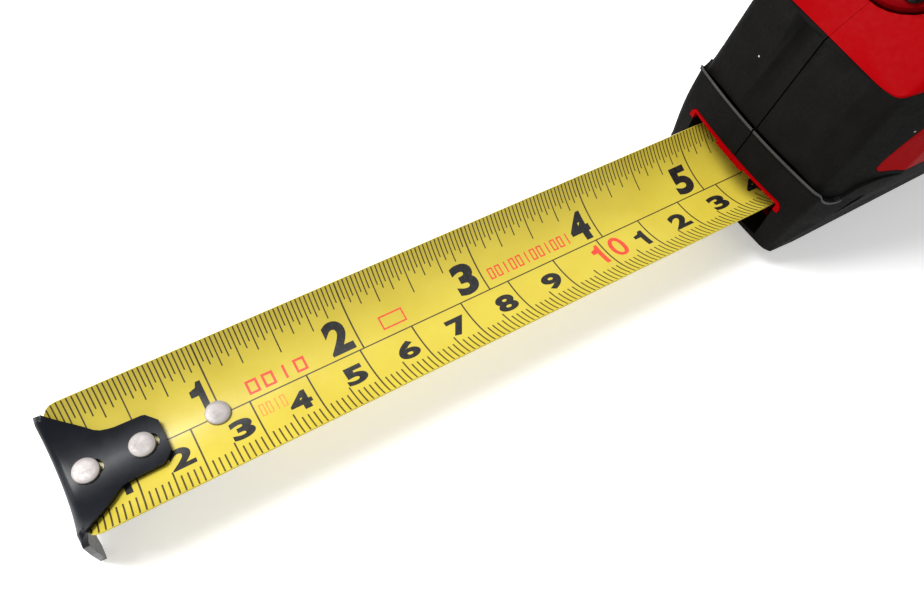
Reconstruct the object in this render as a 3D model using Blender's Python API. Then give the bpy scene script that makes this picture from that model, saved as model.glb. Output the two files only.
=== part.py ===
"""Tape measure, 25 mm blade, 7.5 m class, with its blade drawn out about 130 mm.

The case stands on the plane z = 0 with the hook towards -X. The blade's centre
plane is y = 0. Lengths below are millimetres; mesh_object() converts to metres.
"""

import math

import bpy
from mathutils import Vector

MM = 0.001
GAP = 0.3                    # clearance between neighbouring pieces
FAR = 200.0

# Case
CASE_CORNERS = [             # side view, (x, z), and the radius of each corner
    (-27.0, 0.0, 2.0),
    (39.1, 0.0, 9.0),
    (39.1, 71.0, 21.0),
    (-2.4, 71.0, 18.0),
    (-30.2, 48.1, 3.0),
    (-33.3, 45.1, 1.5),
    (-39.0, 17.0, 1.5),
    (-39.1, 5.6, 1.5),
]
CASE_HALF = 21.5             # half width at the sides
FLAT_HALF = 16.7             # half width of the top and back faces
CHAMFER = 4.5
BASE_HALF = 15.4             # half width of the base; the sides lean out above it
LEAN = math.radians(12.7)
KNEE_Z = 17.0                # the front stands upright below, leans back above
FRONT_X = -38.75             # side edges of the front, below the knee
FRONT_RAKE = 0.2028
FRONT_HALF = 16.2
CROWN = 1.2                  # the front bulges this much at the middle
SPREAD = math.radians(22)    # side walls open out behind the front edges
UPPER_BACK = 0.45            # upper front face, behind the collar's face
COLLAR_WIDTHS = [(-5.0, 15.0), (5.0, 15.8), (12.0, 16.5), (26.0, 17.4), (40.0, 17.4)]
COLLAR_SPREAD = math.radians(17)
COLLAR_TOP = [               # upper edge of the collar, (x, z)
    (-60.0, 24.6), (-37.4, 24.6), (-36.4, 23.3), (-35.2, 22.3), (-34.0, 21.9),
    (-32.8, 22.0), (-31.6, 22.8), (-30.4, 24.7), (-28.7, 26.1), (-26.2, 27.2),
    (-23.0, 27.8), (-17.0, 28.0),
]
SKIN = 1.5                   # rubber skin thickness
WALL = 2.0                   # plastic wall behind the skin
THIN_WALL = 0.9              # the same at the leaning lower sides
CAVITY_HALF = 17.0
SEAM_Y = -0.5                # parting plane of the two halves
SPINE_HALF = 18.5
SPINE_EDGE = [               # lower edge of the red spine, (x, z)
    (-60.0, 45.1), (-33.0, 45.1), (-31.2, 46.4), (-28.4, 47.6), (-20.0, 53.6), (-8.0, 61.0),
]
SPINE_BACK_X = 24.0
BEAD = 0.9                   # raised line along the collar's upper edge
BEAD_OUT = 0.5
PANEL = [                    # red side panel, (x, z)
    (-28.6, 29.5), (-24.5, 28.7), (-19.0, 28.3), (-8.0, 27.8), (3.0, 27.5),
    (14.0, 28.0), (23.0, 30.8), (28.0, 37.5), (27.0, 46.5), (20.5, 54.0),
    (10.5, 58.2), (-2.0, 58.0), (-12.5, 53.2), (-20.0, 46.8), (-25.0, 39.2),
]

# Mouth
MOUTH_HALF = 12.4            # about the parting plane
MOUTH_Z = (6.9, 16.9)
RIM = 1.1
RIM_Z = (15.4, 17.7)
RIM_OUT = 0.3
LIP = (-3.5, 4.3, 16.3)      # middle of the rim hangs lower: from, to, height
THROAT = 0.9                 # rubber lining of the mouth's sides and floor
THROAT_X = -34.0

# Blade
BLADE_WIDTH = 25.0
BLADE_THICK = 0.3
BLADE_Z = 8.5                # lowest line of the curved blade
BLADE_BEND = 15.85           # radius of the curve across the blade
ZERO_X = -170.1              # zero of the scale
BLADE_START = 1.5            # from the zero to the blade's cut end

# Hook and rivets, x measured from the zero of the scale
HOOK_THICK = 1.2
HOOK_PLATE = [               # (x, half width)
    (0.6, 10.4), (1.4, 9.9), (4.0, 8.0), (6.2, 6.4), (8.0, 4.9), (10.0, 4.5),
    (14.6, 4.4), (16.3, 2.8),
]
HOOK_HALF = 11.3
HOOK_LOW_Z = 0.5
HOOK_PLAY = 1.2
RIVETS = {"rivet_front": 4.0, "rivet_middle": 12.7, "rivet_rear": 24.8}
RIVET_HEAD_R = 2.05
RIVET_TAIL_R = 1.8
RIVET_SHANK_R = 1.25
RIVET_HOLE_R = 1.4

# Reel
REEL_X = 6.4
REEL_Z = 36.6
COIL_R = 27.2
COIL_IN_R = 17.7
DRUM_R = 17.4
DRUM_IN_R = 16.2
FLANGE_R = 27.7
ARBOR_R = 3.6
BORE_R = 4.0
SPRING_R = (4.6, 15.2)
SPRING_TURNS = 6
SPRING_HALF = 9.5

# Thumb lock, in the slope's own axes: s up the slope, n outwards
SLOPE_X = -27.3              # lower end of the thumb recess
SLOPE_Z = 50.3
SLOPE_ANGLE = math.radians(39.5)
RECESS_LENGTH = 25.4
RECESS_HALF = 10.0
RECESS_DEPTH = 1.6
LOCK_LENGTH = 18.9
LOCK_HALF = 9.3
LOCK_TRAVEL = 5.0

SCREWS = {                   # x, z, and how far the boss around the head reaches
    "case_screw_front": (-24.3, 24.5, 17.2), "case_screw_top": (28.6, 59.0, 17.1),
    "case_screw_rear": (32.5, 15.0, 15.9),
}
SCREW_HEAD_Y = 15.6
CLIP_X = 6.4
CLIP_HALF = 9.0
CLIP_SCREW_Z = 49.0

COLOURS = {                  # name: (colour, roughness, metallic)
    "red_plastic": ((0.62, 0.012, 0.02), 0.38, 0.0),
    "black_rubber": ((0.018, 0.018, 0.018), 0.78, 0.0),
    "blade_yellow": ((0.85, 0.66, 0.03), 0.3, 0.0),
    "black_steel": ((0.02, 0.021, 0.024), 0.3, 0.6),
    "zinc_steel": ((0.72, 0.72, 0.73), 0.35, 1.0),
    "spring_steel": ((0.35, 0.35, 0.37), 0.35, 1.0),
    "reel_plastic": ((0.06, 0.06, 0.065), 0.5, 0.0),
    "lock_plastic": ((0.3, 0.008, 0.014), 0.42, 0.0),
}


def clear_scene():
    for obj in list(bpy.data.objects):
        bpy.data.objects.remove(obj, do_unlink=True)


def make_material(name, kind):
    colour, roughness, metallic = COLOURS[kind]
    material = bpy.data.materials.new(name)
    material.use_nodes = True
    shader = material.node_tree.nodes["Principled BSDF"]
    shader.inputs["Base Color"].default_value = (*colour, 1.0)
    shader.inputs["Roughness"].default_value = roughness
    shader.inputs["Metallic"].default_value = metallic
    return material


def mesh_object(name, points, faces):
    mesh = bpy.data.meshes.new(name)
    mesh.from_pydata([Vector(p) * MM for p in points], [], faces)
    mesh.validate()
    obj = bpy.data.objects.new(name, mesh)
    bpy.context.scene.collection.objects.link(obj)
    return obj


def discard(obj):
    mesh = obj.data
    bpy.data.objects.remove(obj, do_unlink=True)
    bpy.data.meshes.remove(mesh)


def combine(target, other, operation, keep=False):
    """Boolean of two solids, applied at once."""
    step = target.modifiers.new("combine", "BOOLEAN")
    step.operation = operation
    step.solver = "EXACT"
    step.object = other
    bpy.context.view_layer.update()
    seen = target.evaluated_get(bpy.context.evaluated_depsgraph_get())
    result = bpy.data.meshes.new_from_object(seen)
    target.modifiers.clear()
    old = target.data
    target.data = result
    bpy.data.meshes.remove(old)
    if not keep:
        discard(other)
    return target


def cut(target, other, keep=False):
    return combine(target, other, "DIFFERENCE", keep)


def join(target, other, keep=False):
    return combine(target, other, "UNION", keep)


def common(target, other, keep=False):
    return combine(target, other, "INTERSECT", keep)


def duplicate(obj, name):
    copy = bpy.data.objects.new(name, obj.data.copy())
    bpy.context.scene.collection.objects.link(copy)
    return copy


def finish(obj, name, kind, origin):
    """Names the piece, gives it its own material and puts its origin in place."""
    obj.name = name
    obj.data.name = name
    obj.data.materials.clear()
    obj.data.materials.append(make_material(name, kind))
    shift = Vector(origin) * MM
    for vertex in obj.data.vertices:
        vertex.co -= shift
    obj.location = shift
    return obj


def stack(rings):
    """Faces that join closed rings of equal length, with both ends capped."""
    count = len(rings[0])
    points = [p for ring in rings for p in ring]
    faces = []
    for level in range(len(rings) - 1):
        for i in range(count):
            j = (i + 1) % count
            a = level * count
            faces.append((a + i, a + j, a + count + j, a + count + i))
    faces.append(tuple(reversed(range(count))))
    faces.append(tuple(range((len(rings) - 1) * count, len(rings) * count)))
    return points, faces


def signed_area(outline):
    total = 0.0
    for (ax, ay), (bx, by) in zip(outline, outline[1:] + outline[:1]):
        total += ax * by - bx * ay
    return total / 2


def prism(outline, low, high, place):
    """Extrudes a flat outline; place(a, b, h) gives the point in space."""
    if signed_area(outline) < 0:
        outline = outline[::-1]
    rings = [[place(a, b, h) for a, b in outline] for h in (low, high)]
    points, faces = stack(rings)
    ends = [Vector(place(*p)) for p in ((0, 0, 0), (1, 0, 0), (0, 1, 0), (0, 0, 1))]
    first, second, third = (ends[i] - ends[0] for i in (1, 2, 3))
    if first.cross(second).dot(third) < 0:
        faces = [tuple(reversed(face)) for face in faces]
    return mesh_object("prism", points, faces)


def along_y(a, b, h):
    return (a, h, b)


def along_z(a, b, h):
    return (a, b, h)


def along_x(a, b, h):
    return (h, a, b)


def on_slope(s, n, y):
    """Point from distance up the slope, height above it, and y."""
    up, out = math.cos(SLOPE_ANGLE), math.sin(SLOPE_ANGLE)
    return (SLOPE_X + s * up - n * out, y, SLOPE_Z + s * out + n * up)


def across_slope(s, y, n):
    return on_slope(s, n, y)


def box(x0, x1, y0, y1, z0, z1):
    return prism([(x0, y0), (x1, y0), (x1, y1), (x0, y1)], z0, z1, along_z)


def circle(a, b, radius, steps=24):
    turn = 2 * math.pi / steps
    return [(a + radius * math.cos(turn * (i + 0.5)),
             b + radius * math.sin(turn * (i + 0.5))) for i in range(steps)]


def rod_y(x, z, radius, low, high, steps=24):
    return prism(circle(x, z, radius, steps), low, high, along_y)


def rod_z(x, y, radius, low, high, steps=16):
    return prism(circle(x, y, radius, steps), low, high, along_z)


def inset(corners, distance):
    """Moves every side of a convex anticlockwise outline inwards."""
    lines = []
    for (ax, ay), (bx, by) in zip(corners, corners[1:] + corners[:1]):
        length = math.hypot(bx - ax, by - ay)
        nx, ny = -(by - ay) / length, (bx - ax) / length
        lines.append((nx, ny, nx * ax + ny * ay + distance))
    moved = []
    for (a, b, c), (d, e, f) in zip(lines[-1:] + lines[:-1], lines):
        scale = a * e - b * d
        moved.append(((c * e - b * f) / scale, (a * f - c * d) / scale))
    return moved


def rounded(corners, radii, steps=4):
    outline = []
    count = len(corners)
    for i, radius in enumerate(radii):
        here = Vector(corners[i])
        before = (Vector(corners[i - 1]) - here).normalized()
        after = (Vector(corners[(i + 1) % count]) - here).normalized()
        half = before.angle(after) / 2
        centre = here + (before + after).normalized() * radius / math.sin(half)
        start = here + before * radius / math.tan(half) - centre
        end = here + after * radius / math.tan(half) - centre
        for k in range(steps + 1):
            arm = start.lerp(end, k / steps).normalized() * radius
            outline.append(tuple(centre + arm))
    return outline


def case_outline(distance):
    corners = inset([(x, z) for x, z, _ in CASE_CORNERS], distance)
    radii = [max(r - distance, 0.4) for _, _, r in CASE_CORNERS]
    return rounded(corners, radii)


def chamfered_block(distance):
    """Side view of the case, carried forward past the front, rims chamfered."""
    corners = CASE_CORNERS[:5] + [(-44.0, 34.75, 1.5), (-44.0, 7.82, 1.5)]
    run = CASE_HALF - FLAT_HALF
    slant = math.hypot(run, CHAMFER)
    edge = FLAT_HALF + (distance * run - distance * slant) / CHAMFER
    side = CASE_HALF - distance
    deep = distance + (side - edge) * CHAMFER / run
    rings = []
    for y, inward in ((side, deep), (edge, distance), (-edge, distance), (-side, deep)):
        outline = rounded(inset([(x, z) for x, z, _ in corners], inward),
                          [max(r - inward, 0.4) for _, _, r in corners])
        rings.append([(x, SEAM_Y + y, z) for x, z in outline])
    points, faces = stack(rings)
    return mesh_object("block", points, faces)


def leaning_block(distance):
    """Bounds the sides, which lean out from the narrower base."""
    high = (30.0 - BASE_HALF) / math.tan(LEAN)
    low = BASE_HALF - 5.0 * math.tan(LEAN)
    section = [(-low, -5.0), (low, -5.0), (30.0, high), (30.0, 90.0), (-30.0, 90.0),
               (-30.0, high)]
    section = [(SEAM_Y + y, z) for y, z in inset(section, distance)]
    return prism(section, -70.0, 70.0, along_x)


def plan_ring(x, half, z, spread, distance):
    """Plan outline: crowned front with softened edges, walls opening backwards."""
    x += distance
    half -= distance * (1 - math.sin(spread)) / math.cos(spread)
    soft = 1.2
    side = [(x - CROWN * (1 - (k / 4 * (half - soft) / half) ** 2), k / 4 * (half - soft))
            for k in range(5)]
    side.append((x + soft * 0.3, half))
    side.append((x + soft * math.cos(spread), half + soft * math.sin(spread)))
    side.append((x + (30.0 - half) / math.tan(spread), 30.0))
    side.append((70.0, 30.0))
    ring = [(a, -b) for a, b in side[:0:-1]] + side
    return [(a, SEAM_Y + b, z) for a, b in ring]


def front_x(z):
    return FRONT_X + max(0.0, z - KNEE_Z) * FRONT_RAKE


def upper_block(distance):
    rings = []
    for z in (-6.0, KNEE_Z, 90.0):
        rings.append(plan_ring(front_x(z) + UPPER_BACK, FRONT_HALF, z, SPREAD, distance))
    points, faces = stack(rings)
    return mesh_object("upper", points, faces)


def collar_block(distance):
    """Wider lower part of the front, up to its curved upper edge."""
    rings = []
    levels = sorted(COLLAR_WIDTHS + [(KNEE_Z, 16.82)])
    for z, half in levels:
        rings.append(plan_ring(front_x(z), half, z, COLLAR_SPREAD, distance))
    points, faces = stack(rings)
    collar = mesh_object("collar", points, faces)
    under = COLLAR_TOP + [(0.0, 26.0), (0.0, -20.0), (-60.0, -20.0)]
    return common(collar, prism(under, -40.0, 40.0, along_y))


def bead_block():
    upper = COLLAR_TOP[:6]
    band = upper + [(x, z - BEAD) for x, z in upper[::-1]]
    rings = []
    for z in (15.0, 30.0):
        rings.append(plan_ring(front_x(z), 17.3, z, COLLAR_SPREAD, -BEAD_OUT))
    points, faces = stack(rings)
    return common(mesh_object("bead", points, faces), prism(band, -40.0, 40.0, along_y))


def case_core(distance):
    """The case without its collar, moved inwards by distance."""
    core = common(chamfered_block(distance), leaning_block(distance))
    return common(core, upper_block(distance))


def case_body():
    """The whole outer form with collar and raised line."""
    front = join(upper_block(0.0), collar_block(0.0))
    join(front, bead_block())
    body = common(chamfered_block(0.0), leaning_block(0.0))
    return common(body, front)


def rim_band(gap, out):
    """Red rim over the mouth; its face stands out from the collar."""
    half = MOUTH_HALF + RIM + gap
    rings = []
    for z in (RIM_Z[0] - gap, KNEE_Z, RIM_Z[1] + gap):
        rings.append(plan_ring(front_x(z), FRONT_HALF, z, SPREAD, -out))
    points, faces = stack(rings)
    block = box(-60, -33.0, SEAM_Y - half, SEAM_Y + half, 0, 30)
    return common(mesh_object("rim", points, faces), block)


def spine_window(gap):
    """Space of the red spine along the front slope and the top."""
    far = SPINE_HALF - gap
    side = [(x, z + gap) for x, z in SPINE_EDGE]
    side += [(SPINE_BACK_X - gap, 60.0 + gap), (SPINE_BACK_X - gap, 95.0), (-60.0, 95.0)]
    return prism(side, SEAM_Y - far, SEAM_Y + far, along_y)


def panel_window(gap, side):
    outline = inset(PANEL, gap)
    low, high = sorted((side * 16.0, side * 30.0))
    return prism(outline, low, high, along_y)


def mouth_hole(gap, back=-30.0):
    half = MOUTH_HALF + gap
    return box(-60, back, SEAM_Y - half, SEAM_Y + half, MOUTH_Z[0] - gap, MOUTH_Z[1] + gap)


def throat_block(gap):
    half = MOUTH_HALF + THROAT + gap
    front = -60.0 if gap else -38.4
    return box(front, THROAT_X + gap, SEAM_Y - half, SEAM_Y + half,
               MOUTH_Z[0] - THROAT - gap, RIM_Z[0] + 0.6)


def half_space(side):
    edge = SEAM_Y + side * GAP / 2
    low, high = sorted((edge, side * FAR))
    return box(-FAR, FAR, low, high, -FAR, FAR)


def stadium(start, length, half, steps=8):
    """Round-ended outline along s, centred on y = 0."""
    outline = []
    for centre, turn in ((start + length - half, -0.5), (start + half, 0.5)):
        for k in range(steps + 1):
            angle = math.pi * (turn + k / steps)
            outline.append((centre + half * math.cos(angle), half * math.sin(angle)))
    return outline


def cavity():
    hollow = prism(case_outline(SKIN + GAP + WALL), -CAVITY_HALF, CAVITY_HALF, along_y)
    common(hollow, leaning_block(SKIN + GAP + THIN_WALL))
    return common(hollow, upper_block(SKIN + GAP + THIN_WALL))


def whole_shell():
    """Both halves of the plastic case in one, before they are parted."""
    outer = case_body()
    shell = case_core(SKIN + GAP)
    join(shell, common(spine_window(GAP), outer, keep=True))
    for side in (-1, 1):
        join(shell, common(panel_window(GAP, side), outer, keep=True))
    discard(outer)
    cut(shell, throat_block(GAP))
    join(shell, rim_band(0.0, RIM_OUT))
    cut(shell, cavity())
    for x, z, end in SCREWS.values():
        boss = rod_y(x, z, 2.4, -end - 1.0, 15.0, 16)
        join(shell, join(boss, rod_y(x, z, 3.7, 14.2, end, 18)))
    lip = box(-70, -36.0, LIP[0], LIP[1], LIP[2], 30)
    cut(shell, cut(mouth_hole(0.0), lip))
    recess = stadium(0, RECESS_LENGTH, RECESS_HALF)
    cut(shell, prism(recess, -RECESS_DEPTH, 12, across_slope))
    slot = [(1.7, -5.3), (11.0, -5.3), (11.0, 5.3), (1.7, 5.3)]
    cut(shell, prism(slot, -8, 0, across_slope))
    pocket = [(12.2, -2.8), (22.0, -2.8), (22.0, 2.8), (12.2, 2.8)]
    cut(shell, prism(pocket, -3.0, 0, across_slope))
    return shell


def make_shells():
    whole = whole_shell()
    right = common(duplicate(whole, "right"), half_space(-1))
    left = common(whole, half_space(1))
    for x, z, _ in SCREWS.values():
        cut(right, rod_y(x, z, 1.5, -11, 2, 16))
        cut(left, rod_y(x, z, 1.55, -2, 18, 16))
        cut(left, rod_y(x, z, 3.0, SCREW_HEAD_Y - 0.2, 30, 16))
    cut(right, rod_y(REEL_X, REEL_Z, ARBOR_R + 0.1, -18.5, -16))
    cut(left, rod_y(REEL_X, REEL_Z, 1.6, 16, 30, 16))
    cut(left, rod_y(REEL_X, REEL_Z, 3.2, 18.8, 30, 16))
    cut(left, rod_y(CLIP_X, CLIP_SCREW_Z, 1.5, 16, 30, 16))
    finish(right, "right_shell", "red_plastic", (0, 0, 0))
    finish(left, "left_shell", "red_plastic", (0, 0, 0))


def whole_skin():
    """Rubber skin of both halves in one, before it is parted."""
    skin = case_body()
    cut(skin, case_core(SKIN))
    join(skin, throat_block(0.0))
    cut(skin, spine_window(0.0))
    for side in (-1, 1):
        cut(skin, panel_window(0.0, side))
    cut(skin, rim_band(GAP, 5.0))
    cut(skin, mouth_hole(0.0))
    for side in (-1, 1):
        slit = [(-30.6, 16.5), (-28.9, 18.2), (-27.5, 22.4), (-29.2, 20.6)]
        low, high = sorted((SEAM_Y + side * 18.5, side * 30.0))
        cut(skin, prism(slit, low, high, along_y))
    return skin


def make_skins():
    whole = whole_skin()
    right = common(duplicate(whole, "right"), half_space(-1))
    left = common(whole, half_space(1))
    for x, z, _ in SCREWS.values():
        cut(left, rod_y(x, z, 3.2, 14, 30, 16))
    finish(right, "right_overmould", "black_rubber", (0, 0, 0))
    finish(left, "left_overmould", "black_rubber", (0, 0, 0))


def arc_point(radius, y):
    """Height of a line concentric with the blade's curve."""
    return BLADE_Z + BLADE_BEND - math.sqrt(radius * radius - y * y)


def blade_section(x, bend, middle, low, high, width, steps=12):
    """Closed ring across a curved strip; low and high are offsets above it."""
    upper, lower = [], []
    for k in range(steps + 1):
        angle = width * (k / steps - 0.5) / bend
        for ring, offset in ((upper, high), (lower, low)):
            reach = bend - offset
            height = middle + bend - reach * math.cos(angle)
            ring.append((x, reach * math.sin(angle), height))
    return upper + lower[::-1]


def make_blade():
    half = BLADE_THICK / 2
    rings = []
    stations = [(ZERO_X + BLADE_START, 1.0), (-32.0, 1.0), (-26.0, 1.25), (-20.0, 1.8),
                (-13.0, 3.2), (-6.0, 8.0), (0.0, 30.0), (REEL_X, 60.0)]
    for x, flatter in stations:
        rise = 0.45 * max(0.0, (x + 32.0) / 38.4)
        rings.append(blade_section(x, BLADE_BEND * flatter, BLADE_Z + rise, -half, half,
                                   BLADE_WIDTH))
    points, faces = stack(rings[::-1])
    blade = mesh_object("blade", points, faces)
    for x in RIVETS.values():
        cut(blade, rod_z(ZERO_X + x, 0, RIVET_HOLE_R, 0, 20))
    finish(blade, "blade", "blade_yellow", (ZERO_X, 0, BLADE_Z))


def make_backing():
    start, end = ZERO_X + 2.4, ZERO_X + 29.5
    rings = [blade_section(x, BLADE_BEND, BLADE_Z, -0.45, -0.2, 12.0, 6)
             for x in (end, start)]
    points, faces = stack(rings)
    backing = mesh_object("backing", points, faces)
    for x in RIVETS.values():
        cut(backing, rod_z(ZERO_X + x, 0, RIVET_HOLE_R, 0, 20))
    finish(backing, "blade_backing", "spring_steel", (ZERO_X, 0, BLADE_Z))


def hook_plate():
    """Curved plate that lies on the blade."""
    top, bottom = BLADE_BEND - 1.25, BLADE_BEND - 0.25
    rings = []
    for x, half in HOOK_PLATE[::-1]:
        ys = [half * k / 5 for k in range(-5, 6)]
        upper = [(ZERO_X + x, y, arc_point(top, y)) for y in ys]
        lower = [(ZERO_X + x, y, arc_point(bottom, y)) for y in ys]
        rings.append(upper + lower[::-1])
    points, faces = stack(rings)
    return mesh_object("plate", points, faces)


def hook_flange():
    """Downward plate that catches on the work."""
    low = HOOK_LOW_Z
    outline = [(-7.5, low + 1.3), (-8.5, low), (-10.8, low), (-HOOK_HALF, 6.5),
               (-HOOK_HALF, 12.0), (-10.8, 12.6)]
    for k in range(-6, 7):
        y = 9.4 * k / 6
        outline.append((y, arc_point(BLADE_BEND - 1.25, y)))
    outline += [(10.8, 12.6), (HOOK_HALF, 12.0), (HOOK_HALF, 6.5), (10.8, low),
                (8.5, low), (7.5, low + 1.3)]
    return prism(outline, ZERO_X, ZERO_X + HOOK_THICK, along_x)


def make_hook():
    hook = join(hook_plate(), hook_flange())
    for name in ("rivet_front", "rivet_middle"):
        start = ZERO_X + RIVETS[name] - RIVET_HOLE_R
        ends = 2 * RIVET_HOLE_R + HOOK_PLAY
        outline = stadium(start, ends, RIVET_HOLE_R, 6)
        cut(hook, prism(outline, 0.0, 20.0, along_z))
    finish(hook, "hook", "black_steel", (ZERO_X, 0, BLADE_Z))


def lathe_z(x, profile, steps=20):
    """Turned solid about a vertical axis; profile is (radius, z), rising."""
    rings = []
    for radius, z in profile:
        rings.append([(px, py, z) for px, py in circle(x, 0, radius, steps)])
    points, faces = stack(rings)
    return mesh_object("turned", points, faces)


def make_rivet(name, x):
    seat = 8.82 if name == "rivet_rear" else 9.92
    head, tail = RIVET_HEAD_R, RIVET_TAIL_R
    profile = [(tail * 0.8, 7.45), (tail, 7.6), (tail, 7.98), (RIVET_SHANK_R, 7.98),
               (RIVET_SHANK_R, seat), (head, seat), (head, seat + 0.35),
               (head * 0.82, seat + 0.6), (head * 0.4, seat + 0.7)]
    rivet = lathe_z(ZERO_X + x, profile)
    finish(rivet, name, "zinc_steel", (ZERO_X + x, 0, BLADE_Z))


def lathe_y(x, z, profile, steps=48):
    """Turned solid about an axis along Y; profile is closed, (radius, y)."""
    if signed_area(profile) < 0:
        profile = profile[::-1]
    count = len(profile)
    points, faces = [], []
    for i in range(steps):
        angle = 2 * math.pi * i / steps
        for radius, y in profile:
            points.append((x + radius * math.cos(angle), y, z + radius * math.sin(angle)))
    for i in range(steps):
        near, far = i * count, (i + 1) % steps * count
        for k in range(count):
            m = (k + 1) % count
            faces.append((near + k, near + m, far + m, far + k))
    return mesh_object("turned", points, faces)


def make_coil():
    half = BLADE_WIDTH / 2
    profile = [(COIL_IN_R, -half), (COIL_R, -half), (COIL_R, half), (COIL_IN_R, half)]
    coil = lathe_y(REEL_X, REEL_Z, profile)
    finish(coil, "blade_coil", "blade_yellow", (REEL_X, 0, REEL_Z))


def make_drum():
    profile = [(BORE_R, -16.4), (6.5, -16.4), (6.5, -13.9), (FLANGE_R, -13.9),
               (FLANGE_R, -13.1), (DRUM_R, -13.1), (DRUM_R, 12.6), (DRUM_IN_R, 12.6),
               (DRUM_IN_R, -12.6), (BORE_R, -12.6)]
    drum = lathe_y(REEL_X, REEL_Z, profile)
    finish(drum, "reel_drum", "reel_plastic", (REEL_X, 0, REEL_Z))


def make_cap():
    profile = [(BORE_R, 12.9), (FLANGE_R, 12.9), (FLANGE_R, 13.7), (6.5, 13.7),
               (6.5, 16.4), (BORE_R, 16.4)]
    cap = lathe_y(REEL_X, REEL_Z, profile)
    finish(cap, "reel_cap", "reel_plastic", (REEL_X, 0, REEL_Z))


def make_power_spring():
    inner, outer = SPRING_R
    steps = SPRING_TURNS * 20
    band = 0.45
    left, right = [], []
    for i in range(steps + 1):
        angle = 2 * math.pi * SPRING_TURNS * i / steps
        radius = inner + (outer - inner) * i / steps
        for side, reach in ((left, radius), (right, radius + band)):
            side.append((REEL_X + reach * math.cos(angle),
                         REEL_Z + reach * math.sin(angle)))
    spring = prism(right + left[::-1], -SPRING_HALF, SPRING_HALF, along_y)
    finish(spring, "power_spring", "spring_steel", (REEL_X, 0, REEL_Z))


def make_arbor():
    arbor = rod_y(REEL_X, REEL_Z, ARBOR_R, -18.2, 16.7)
    cut(arbor, rod_y(REEL_X, REEL_Z, 1.5, 7.0, 20, 16))
    cut(arbor, box(REEL_X, REEL_X + 9, -SPRING_HALF - 0.4, 5.6,
                   REEL_Z - 0.5, REEL_Z + 0.5))
    finish(arbor, "spring_arbor", "zinc_steel", (REEL_X, 0, REEL_Z))


def make_side_screw(name, x, z, head_y, tip_y, head_r=2.6, shank_r=1.35):
    """Pan-head screw entering from the +Y side, with a cross recess."""
    head = head_y + 1.6
    screw = prism(circle(x, z, shank_r, 12), tip_y, head_y + 0.2, along_y)
    join(screw, rod_y(x, z, head_r, head_y, head, 16))
    for long_x, long_z in ((1.4, 0.35), (0.35, 1.4)):
        cut(screw, box(x - long_x, x + long_x, head - 0.8, head + 2,
                       z - long_z, z + long_z))
    finish(screw, name, "zinc_steel", (x, head_y, z))


def make_lock():
    cap = prism(stadium(0.7, LOCK_LENGTH, LOCK_HALF), -1.3, 1.6, across_slope)
    neck = [(2.0, -5.0), (5.6, -5.0), (5.6, 5.0), (2.0, 5.0)]
    join(cap, prism(neck, -4.6, -1.0, across_slope))
    plate_end = [on_slope(s, n, 0) for s, n in ((-1.0, -5.5), (5.6, -5.5), (5.6, -4.0),
                                                (-3.4, -4.0))]
    arm = [(-34.3, 15.6), (-25.1, 15.6), (-25.1, 17.8), (-32.1, 17.8), (-27.0, 43.4)]
    arm += [(p[0], p[2]) for p in plate_end]
    arm += [(-29.0, 43.4), (-34.3, 17.6)]
    join(cap, prism(arm, -5.0, 5.0, along_y))
    join(cap, box(-31.1, -25.1, -10.3, 10.3, 15.7, 17.7))
    finish(cap, "lock_slider", "lock_plastic", on_slope(0, 0, 0))


def make_grip():
    teeth = [(3.2, 1.9), (17.1, 1.9), (17.1, 2.5)]
    for k in range(6):
        s = 16.4 - 2.3 * k
        teeth += [(s, 3.3), (s - 1.1, 3.3), (s - 1.5, 2.5)]
    teeth.append((3.2, 2.3))
    grip = prism(teeth, -6.8, 6.8, on_slope)
    finish(grip, "lock_grip", "black_rubber", on_slope(0, 0, 0))


def make_brake_pad():
    """Rubber shoe: two feet on the blade's shoulders, open in the middle."""
    radius = BLADE_BEND - BLADE_THICK / 2 - GAP
    outline = [(-10.4, 15.3)]
    for y in (-10.4, -8.9, -7.4, -6.0):
        outline.append((y, arc_point(radius, y)))
    outline += [(-5.4, 12.6), (5.4, 12.6)]
    for y in (6.0, 7.4, 8.9, 10.4):
        outline.append((y, arc_point(radius, y)))
    outline.append((10.4, 15.3))
    pad = prism(outline, -31.1, -25.1, along_x)
    finish(pad, "brake_pad", "black_rubber", on_slope(0, 0, 0))


def make_detent_spring():
    path = [(12.6, -2.8), (14.6, -2.8), (16.2, -2.0), (18.0, -2.0), (19.6, -2.8),
            (21.6, -2.8)]
    outline = path + [(s, n + 0.35) for s, n in path[::-1]]
    spring = prism(outline, -2.3, 2.3, on_slope)
    finish(spring, "detent_spring", "spring_steel", on_slope(12.6, -2.8, 0))


def strip(path, thick):
    """Outline of a bent strip of even thickness along its centre line."""
    left, right = [], []
    for i, point in enumerate(path):
        ahead = Vector(path[min(i + 1, len(path) - 1)])
        behind = Vector(path[max(i - 1, 0)])
        way = (ahead - behind).normalized()
        side = Vector((-way.y, way.x)) * thick / 2
        left.append(tuple(Vector(point) + side))
        right.append(tuple(Vector(point) - side))
    return left + right[::-1]


def make_clip():
    """Spring clip: fixed inner leg, fold at the top, long outer leg."""
    inner_y, outer_y, top_z = 21.8, 27.6, 58.0
    middle, reach = (inner_y + outer_y) / 2, (outer_y - inner_y) / 2
    path = [(inner_y, 42.0)]
    for k in range(9):
        angle = math.pi * (1 - k / 8)
        path.append((middle + reach * math.cos(angle), top_z + reach * math.sin(angle)))
    path += [(outer_y, 26.0), (outer_y + 0.4, 21.5), (outer_y + 2.2, 15.5)]
    clip = prism(strip(path, 1.0), CLIP_X - CLIP_HALF, CLIP_X + CLIP_HALF, along_x)
    cut(clip, rod_y(CLIP_X, CLIP_SCREW_Z, 1.7, 20.5, 24.5, 16))
    cut(clip, rod_y(CLIP_X, CLIP_SCREW_Z, 4.2, 25, 32, 20))
    finish(clip, "belt_clip", "black_steel", (CLIP_X, 21.8, CLIP_SCREW_Z))


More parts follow.
